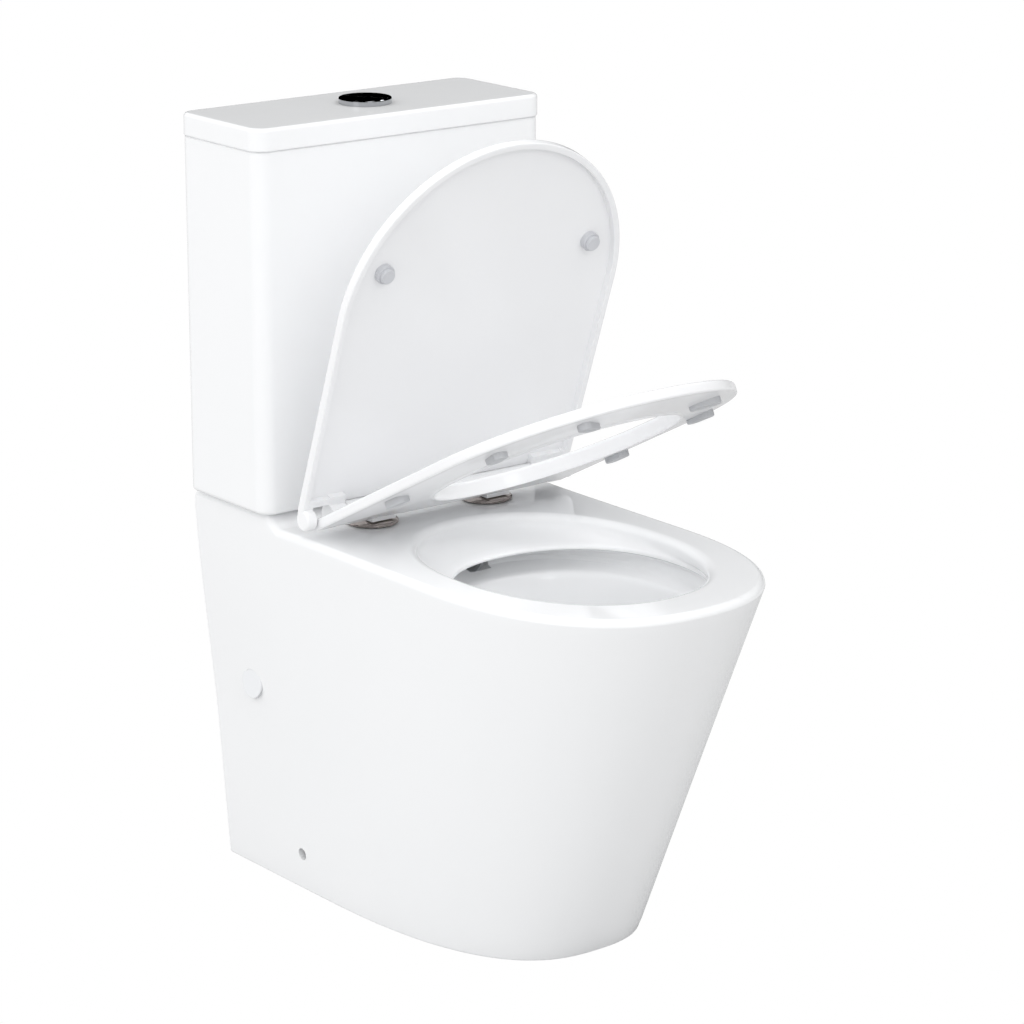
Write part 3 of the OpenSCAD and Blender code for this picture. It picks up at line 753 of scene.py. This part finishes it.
# ---------------------------------------------------------------- cistern
def build_tank():
    b = Builder()
    low, high = (TANK_LOW.x, TANK_LOW.y), (TANK_HIGH.x, TANK_HIGH.y)
    loop = rounded_rect(low, high, (17.4, 17.4, 14.9, 14.9))
    wall, floor, bottom, top = 9.0, 12.0, 5.0, TANK_HIGH.z - TANK_LOW.z
    normals = loop_normals(loop)
    spec = rounding(bottom, 7, rising=False)
    spec += [(0, h) for h in (bottom + 3, top * 0.3, top * 0.6, top - 6)]
    spec += [(0.4, top - 1), (1.2, top)]
    spec += [(wall - 1, top), (wall, top - 1), (wall, top * 0.6), (wall, floor + 6), (wall + 4, floor + 1),
             (wall + 6, floor)]
    rings = [at_height(inset(loop, d, normals), TANK_LOW.z + h) for d, h in spec]
    b.stack(rings, True, True)
    place(make_object("tank", b.mesh("tank")), "suite", "china", "cistern_tank")


def build_cover():
    """The cistern's lid, hollow underneath, with a locating skirt."""
    b = Builder()
    low, high = (COVER_LOW.x, COVER_LOW.y), (COVER_HIGH.x, COVER_HIGH.y)
    loop = rounded_rect(low, high, (18.9, 18.9, 16.4, 16.4))
    normals = loop_normals(loop)
    base = TANK_HIGH.z + 0.3
    top = COVER_HIGH.z
    spec = [(19, top - 10), (19, COVER_LOW.z + 1), (18, COVER_LOW.z), (14.5, COVER_LOW.z),
            (13.5, COVER_LOW.z + 1), (13.5, base), (2.5, base)]
    spec += [(d, base + h) for d, h in rounding(1.6, 4, rising=False)]
    spec += [(0, base + 4), (0, top - 8)]
    spec += [(d, top - 4.5 + h) for d, h in rounding(4.5, 8)]
    spec += [(9, top)]
    rings = [at_height(inset(loop, d, normals), z) for d, z in spec]
    b.stack(rings, True, True)
    place(make_object("cistern_cover", b.mesh("cistern_cover")), "cistern_lid", "china", "cistern_lid")


BUTTON_CENTRE = (0, TANK_HIGH.y - 78)
SPLIT_TURN = Matrix.Rotation(math.radians(-58.5), 2)


def half_disc(side, radius, gap):
    """Outline of half a button, kept clear of the split line by gap."""
    start = math.asin(gap / radius)
    arc = []
    for i in range(49):
        angle = start + (math.pi - 2 * start) * i / 48
        arc.append((radius * math.cos(angle), radius * math.sin(angle)))
    arc += [(mix(arc[-1][0], arc[0][0], i / 12), gap) for i in range(1, 12)]
    if side < 0:
        arc = [(-x, -y) for x, y in arc]
    return [tuple(Vector(BUTTON_CENTRE) + SPLIT_TURN @ Vector(p)) for p in arc]


def build_buttons():
    top = COVER_HIGH.z
    rise, stroke = 6.5, 4.0
    stem_low = top - 43
    b = Builder()
    profile = [(26.3, stem_low), (26.3, top), (29, top + 0.02)]
    profile += [(29 - d, top + rise - 1.6 + h) for d, h in rounding(1.6, 6)]
    profile += [(27.1, top + rise), (26.9, top + rise - 0.3), (26.9, top + 0.5), (24.2, top + 0.5),
                (24.2, stem_low)]
    rings = [at_height(circle(r, 96, BUTTON_CENTRE), z) for r, z in profile]
    ids = b.stack(rings)
    b.bridge(ids[-1], ids[0])
    place(make_object("button_ring", b.mesh("button_ring")), "cistern_lid", "chrome", "button_collar")
    for side, body, node in ((1, "full_button", "full_flush_button"),
                             (-1, "half_button", "half_flush_button")):
        b = Builder()
        plate_z = top + stroke + 0.8
        plate_top = top + rise + 0.2
        plate = half_disc(side, 26.7, 0.35)
        normals = loop_normals(plate)
        spec = [(0.5, plate_z), (0, plate_z + 0.4), (0, plate_top - 0.7), (0.2, plate_top - 0.25),
                (0.7, plate_top)]
        b.stack([at_height(inset(plate, d, normals), z) for d, z in spec], True, True)
        stem = half_disc(side, 23.9, 0.7)
        b.stack([at_height(stem, top - 16), at_height(stem, plate_z + 0.2)], True, True)
        rod_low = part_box(node)[0][2] / MM
        rod = Vector(BUTTON_CENTRE) + SPLIT_TURN @ Vector((0, side * 6))
        lathe(b, [(2.6, rod_low), (2.6, top - 15)], (rod.x, rod.y, 0), None, 24)
        place(make_object(node + "_cap", b.mesh(node + "_cap")), body, "button_chrome", node)


# ---------------------------------------------------------------- seat and lid
def hinge_matrix(angle):
    return Matrix.Translation(AXIS) @ Matrix.Rotation(-angle, 4, "X")


def raise_by(obj, angle):
    """Turns a mesh that was modelled lying flat about the hinge axis."""
    obj.data.transform(Matrix.Scale(MM, 4) @ hinge_matrix(angle) @ Matrix.Scale(1 / MM, 4))


def match_loops(outer, centre, half, long, power):
    """Points of an oval in the same directions from its centre as the points of outer."""
    out = []
    for x, y in outer:
        angle = math.atan2(y - centre, x)
        px, py = super_polar(half, long, power, angle)
        out.append((px, centre + py))
    return out


# Along the hinge axis: the seat's bar, the lid's lugs and knuckles, and the pockets for the posts
BAR_HALF, LUG_IN, LUG_OUT, KNUCKLE_IN = 125.5, 126.3, 147.0, 167.4
BARREL_R, BARREL_SOFT = 12.3, 0.8
POCKET = (HINGE_X - 17, HINGE_X + 17)
POCKET_REACH = 40
POCKET_ANGLES = list(range(-221, -51, 10)) + [-50]
LUG_ROOM = (LUG_IN - 0.7, LUG_OUT + 0.8)
LUG_ROOM_R = 12.9
PAD_FOOT = RIM_Z - AXIS.z + 0.4
PAD_SPOTS = ((147, 131, 0), (134, 300, 12), (76, 383, 60))  # x, distance from the axis, turn


def build_seat():
    half, length = 166.5, 433.0
    outer = u_outline(half, 1.0, -242, -length, 2.25, arc=160)
    hole = match_loops(outer, -219, 118, 153, 2.1)
    out_n, hole_n = loop_normals(outer), loop_normals(hole)
    top, bottom, skin, skirt = -1.5, -13.3, 3.5, -19.8

    def from_outer(d, h):
        return at_height(inset(outer, d, out_n), h)

    def from_hole(d, h):
        return at_height(inset(hole, -d, hole_n), h)

    # The closed underside dips from the outer edge to a slim lip round the hole
    near, lip_edge = inset(outer, 7, out_n), inset(hole, -7, hole_n)
    rings = []
    for i in range(15):
        t = 1 - i / 14
        dip = t * (1.5 - 0.5 * t)
        rings.append([(mix(p[0], q[0], t), mix(p[1], q[1], t), mix(bottom - 0.4, skirt + 1.6, dip))
                      for p, q in zip(near, lip_edge)])
    rings += [from_outer(4, bottom - 0.1)]
    rings += [from_outer(d, bottom + h) for d, h in rounding(2.2, 5, rising=False)]
    rings += [from_outer(0, mix(bottom + 2.4, top - 4.2, t)) for t in (0.0, 0.5, 1.0)]
    rings += [from_outer(d, top - 4 + h) for d, h in rounding(4, 7)]
    edge, lip = inset(outer, 6, out_n), inset(hole, -5.2, hole_n)
    for i in range(10):
        t = i / 9
        crown = 1.0 * math.sin(math.pi * t)
        rings.append([(mix(p[0], q[0], t), mix(p[1], q[1], t), top + crown) for p, q in zip(edge, lip)])
    for i in range(1, 9):
        a = 0.5 * math.pi * i / 8
        rings.append(from_hole(5 * (1 - math.sin(a)), top - 5 * (1 - math.cos(a))))
    rings += [from_hole(0, h) for h in (-10, -15, skirt + 1.2)]
    rings += [from_hole(0.4, skirt + 0.4), from_hole(1.2, skirt), from_hole(2.4, skirt + 0.1)]
    rings += [from_hole(skin, skirt + 0.7), from_hole(5, skirt + 1.3)]
    b = Builder()
    ids = b.stack(rings)
    b.bridge(ids[-1], ids[0])
    obj = make_object("seat_ring", b.mesh("seat_ring"))

    bar = Builder()
    rod_x(bar, -BAR_HALF, BAR_HALF, BARREL_R, soft=BARREL_SOFT, count=128)
    boolean(obj, bar, "UNION")

    cut = Builder()
    for side in (-1, 1):
        sweep = [(0, 0)]
        for degrees in POCKET_ANGLES:
            a = math.radians(degrees)
            sweep.append((-POCKET_REACH * math.cos(a), POCKET_REACH * math.sin(a)))
        ids = [cut.add_ring([(x, y, z) for y, z in sweep]) for x in span(side, *POCKET)]
        cut.bridge(*ids)
        cut.faces.append(tuple(reversed(ids[0])))
        cut.faces.append(tuple(ids[1]))
    boolean(obj, cut, "DIFFERENCE")
    cut = Builder()
    for side in (-1, 1):
        rod_x(cut, *span(side, *POCKET), 9.3)
        rod_x(cut, *span(side, *LUG_ROOM), LUG_ROOM_R)
    boolean(obj, cut, "DIFFERENCE")
    cut = Builder()
    for side in (-1, 1):
        low, high = span(side, *LUG_ROOM)
        box_solid(cut, (low, -LUG_ROOM_R, -30), (high, 17.1, -0.4))
    boolean(obj, cut, "DIFFERENCE")
    cut = Builder()
    for side in (-1, 1):
        rod_x(cut, *span(side, 58, BAR_HALF + 1), 3.1, count=32)
    boolean(obj, cut, "DIFFERENCE")
    raise_by(obj, SEAT_ANGLE)
    place(obj, "seat", "seat_plastic", "seat")

    pads = Builder()
    profile = [(d, PAD_FOOT + h) for d, h in rounding(1.6, 5, rising=False)]
    profile += [(0, PAD_FOOT + 3), (0, -14.5)]
    for x, s, turn in PAD_SPOTS:
        for side in (-1, 1):
            swing = Matrix.Rotation(math.radians(side * turn), 3, "Z")
            pads.stack([[tuple(swing @ Vector((px, py, 0)) + Vector((side * x, -s, h)))
                         for px, py in capsule(9, 8 - d)] for d, h in profile], True, True)
    place(make_object("seat_pads", pads.mesh("seat_pads", hinge_matrix(SEAT_ANGLE))), "seat",
          "bumper_white", "seat_bumpers")


def build_lid():
    half, length = 180.5, 426.0
    low, high, panel = 1.9, 12.9, 9.5
    rim_w = 7.5
    outline = u_outline(half, -7.5, -241, -length, 2.0, arc=180)
    normals = loop_normals(outline)
    centre = Vector((0, -225))

    def ring(d, h):
        return at_height(inset(outline, d, normals), h)

    def shrunk(base, share, h, dome):
        return [(centre.x + (x - centre.x) * share, centre.y + (y - centre.y) * share,
                 h + dome * (1 - share * share)) for x, y in base]

    shares = (0.06, 0.15, 0.3, 0.45, 0.6, 0.75, 0.88, 0.96)
    inner_base = inset(outline, rim_w + 1.6, normals)
    rings = [shrunk(inner_base, share, panel, 1.0) for share in shares]
    rings += [ring(rim_w + 1.6, panel), ring(rim_w + 0.7, panel - 0.3), ring(rim_w + 0.3, panel - 1)]
    rings += [ring(rim_w, mix(panel - 1, low + 1, 0.5)), ring(rim_w, low + 1), ring(rim_w - 0.3, low + 0.3),
              ring(rim_w - 1.0, low)]
    rings += [ring(rim_w * 0.5, low)] + [ring(d, low + h) for d, h in rounding(1.6, 5, rising=False)]
    rings += [ring(0, low + 2.2), ring(0, high - 3.4)]
    rings += [ring(d, high - 3 + h) for d, h in rounding(3, 7)]
    outer_base = inset(outline, 4, normals)
    rings += [shrunk(outer_base, share, high, 1.0) for share in (1.0,) + tuple(reversed(shares))]
    b = Builder()
    b.stack(rings, True, True)
    obj = make_object("toilet_lid", b.mesh("toilet_lid"))

    # Solid rear strip, so that the hinge parts grow out of full-thickness material
    add = Builder()
    box_solid(add, (-half + 3, -20, low + 0.4), (half - 3, -8.5, high - 0.6))
    boolean(obj, add, "UNION")
    cut = Builder()
    rod_x(cut, -KNUCKLE_IN, KNUCKLE_IN, 13.1, count=160)
    boolean(obj, cut, "DIFFERENCE")
    cut = Builder()
    box_solid(cut, (-BAR_HALF - 0.8, -22, -2), (BAR_HALF + 0.8, -2, 9.6))
    boolean(obj, cut, "DIFFERENCE")
    add = Builder()
    for side in (-1, 1):
        rod_x(add, *span(side, KNUCKLE_IN, half), 11.6, soft=2.8)
    boolean(obj, add, "UNION")
    add = Builder()
    for side in (-1, 1):
        rod_x(add, *span(side, LUG_IN, LUG_OUT), BARREL_R, soft=BARREL_SOFT)
    boolean(obj, add, "UNION")
    add = Builder()
    for side in (-1, 1):
        a, c = span(side, LUG_IN + 0.1, LUG_OUT - 0.1)
        box_solid(add, (a, -21, low + 0.1), (c, 0, high - 1.0))
        a, c = span(side, KNUCKLE_IN + 0.1, half - 1.0)
        box_solid(add, (a, -21, low + 0.1), (c, -3, high - 1.6))
    boolean(obj, add, "UNION")
    raise_by(obj, LID_ANGLE)
    place(obj, "lid", "seat_plastic", "lid")

    pads = Builder()
    end = -1.1
    for side in (-1, 1):
        profile = [(8.5 - d, end + h) for d, h in rounding(1.5, 5, rising=False)]
        profile += [(8.5, end + 3.6), (8.3, end + 4.0), (10.0, end + 4.2), (10.5, end + 4.8)]
        profile += [(10.5, panel + 1)]
        lathe(pads, profile, (side * 135.5, -290.5, 0), None, 48)
    place(make_object("lid_pads", pads.mesh("lid_pads", hinge_matrix(LID_ANGLE))), "lid",
          "bumper_grey", "lid_bumpers")


def build_hinge_discs():
    b = Builder()
    z = RIM_Z + 1
    for side in (-1, 1):
        profile = [(28.2, 0), (29, 0.5), (29, 1.6), (28.6, 2.4), (27.6, 3.1), (25, 4.0), (20, 5.0), (14, 5.7),
                   (8, 5.95), (4.05, 6.0), (4.05, 0)]
        rings = [at_height(circle(r, 96, (side * HINGE_X, HINGE_Y)), z + h) for r, h in profile]
        ids = b.stack(rings)
        b.bridge(ids[-1], ids[0])
    place(make_object("hinge_covers", b.mesh("hinge_covers")), "suite", "hinge_steel", "hinge_discs")


def build_side_caps():
    b = Builder()
    face = box_mm("access_caps")[1].x
    for side in (-1, 1):
        lean = Matrix.Rotation(math.radians(-4.3), 3, "Y")
        turn = lean @ TO_X
        if side < 0:
            turn = Matrix.Rotation(math.pi, 3, "Z") @ turn
        profile = [(14.9, -18), (14.9, -1.9), (18, -1.9), (18, -1.0)]
        profile += [(18 - d, -0.9 + h) for d, h in rounding(0.9, 4)]
        lathe(b, profile, (side * face, CAP_Y, CAP_Z), turn)
    place(make_object("side_caps", b.mesh("side_caps")), "suite", "cap_plastic", "access_caps")


build_pan()
build_tank()
build_cover()
build_buttons()
build_seat()
build_lid()
build_hinge_discs()
build_side_caps()

# Remaining CAD nodes keep their shape and get softened edges
REPLACED = {"pan", "cistern_tank", "cistern_lid", "button_collar", "full_flush_button", "half_flush_button",
            "seat", "seat_bumpers", "lid", "lid_bumpers", "hinge_discs", "access_caps"}
for node_name, node_obj in nodes.items():
    if node_name in REPLACED:
        continue
    soft = node_obj.modifiers.new("soft_edges", "BEVEL")
    soft.width = 0.35 * MM
    soft.segments = 2
    soft.limit_method = "ANGLE"
    soft.angle_limit = math.radians(40)


# ---------------------------------------------------------------- studio
def stage_mesh(name, loop_rows, material):
    b = Builder()
    b.grid(loop_rows)
    obj = make_object(name, b.mesh(name))
    for polygon in obj.data.polygons:
        polygon.use_smooth = True
    obj.data.materials.append(material)
    return obj


def floor_material():
    mat, tree, shader = new_material("floor_pale")
    grain = noise(tree, 30.0, 4.0)
    tree.links.new(tint(tree, grain.outputs["Fac"], (0.54, 0.54, 0.54), (0.56, 0.56, 0.56)),
                   shader.inputs["Base Color"])
    shader.inputs["Roughness"].default_value = 0.9
    shader.inputs["Specular IOR Level"].default_value = 0.0
    return mat


def backdrop_material():
    mat, tree, shader = new_material("backdrop_white")
    shader.inputs["Base Color"].default_value = (0, 0, 0, 1)
    shader.inputs["Specular IOR Level"].default_value = 0.0
    shader.inputs["Emission Color"].default_value = (1, 1, 1, 1)
    shader.inputs["Emission Strength"].default_value = 1.0
    return mat


def camera_only(obj):
    """Keeps an object out of reflections and bounced light."""
    obj.visible_diffuse = False
    obj.visible_glossy = False
    obj.visible_transmission = False
    obj.visible_shadow = False


def floor_rows(z):
    spots = (-9000, -3000, 3000, 9000)
    return [[(x, y, z) for x in spots] for y in spots]


lit_floor = stage_mesh("floor", floor_rows(-0.6), floor_material())
lit_floor.visible_camera = False
camera_only(stage_mesh("floor_seen", floor_rows(-0.05), backdrop_material()))


DOME_R = 8500


def build_backdrop():
    """A white dome behind everything, seen by the camera only."""
    rows = []
    for i in range(13):
        tilt = math.radians(-2 + 92 * i / 12)
        rows.append([(DOME_R * math.cos(tilt) * math.cos(FULL * j / 48),
                      DOME_R * math.cos(tilt) * math.sin(FULL * j / 48),
                      DOME_R * math.sin(tilt)) for j in range(49)])
    camera_only(stage_mesh("backdrop", rows, backdrop_material()))


def build_world():
    """Even light from all round, a little stronger from the left. It is not seen in reflections."""
    world = bpy.data.worlds.new("studio")
    bpy.context.scene.world = world
    world.use_nodes = True
    tree = world.node_tree
    background = tree.nodes["Background"]
    background.inputs["Strength"].default_value = 1.95
    coords = tree.nodes.new("ShaderNodeTexCoord")
    split = tree.nodes.new("ShaderNodeSeparateXYZ")
    spread = tree.nodes.new("ShaderNodeMapRange")
    spread.inputs["From Min"].default_value = -0.7
    spread.inputs["From Max"].default_value = 1.0
    spread.inputs["To Min"].default_value = 0.72
    spread.inputs["To Max"].default_value = 0.28
    tree.links.new(coords.outputs["Generated"], split.inputs["Vector"])
    tree.links.new(split.outputs["X"], spread.inputs["Value"])
    tree.links.new(spread.outputs["Result"], background.inputs["Color"])
    world.cycles_visibility.glossy = False


build_backdrop()
build_world()


MIDDLE = (0.0, 0.0, 0.45)


def soft_light(name, place_at, size, power):
    """An area light that points at the middle of the object."""
    data = bpy.data.lights.new(name, "AREA")
    data.shape = "RECTANGLE"
    data.size, data.size_y = size
    data.energy = power
    obj = bpy.data.objects.new(name, data)
    bpy.context.scene.collection.objects.link(obj)
    obj.location = place_at
    direction = Vector(MIDDLE) - Vector(place_at)
    obj.rotation_euler = direction.to_track_quat("-Z", "Y").to_euler()


soft_light("window_left", (-3.2, -0.6, 2.0), (1.4, 1.8), 3)
soft_light("window_front", (-0.9, -3.3, 2.3), (1.2, 1.2), 10)
soft_light("window_high", (1.9, -0.3, 3.0), (0.8, 0.6), 12)
soft_light("top_front", (-0.1, -1.5, 3.4), (1.6, 1.2), 6)

# Camera: from the front left, a little above
camera_data = bpy.data.cameras.new("camera")
camera_data.sensor_width = 36.0
camera_data.lens = 129.24
camera_data.clip_end = 60
camera = bpy.data.objects.new("camera", camera_data)
bpy.context.scene.collection.objects.link(camera)
camera.location = (-2.3046, -2.9562, 1.5166)
camera.rotation_euler = (math.radians(74.10), 0.0, math.radians(-38.03))
bpy.context.scene.camera = camera
bpy.context.scene.view_settings.view_transform = "Standard"
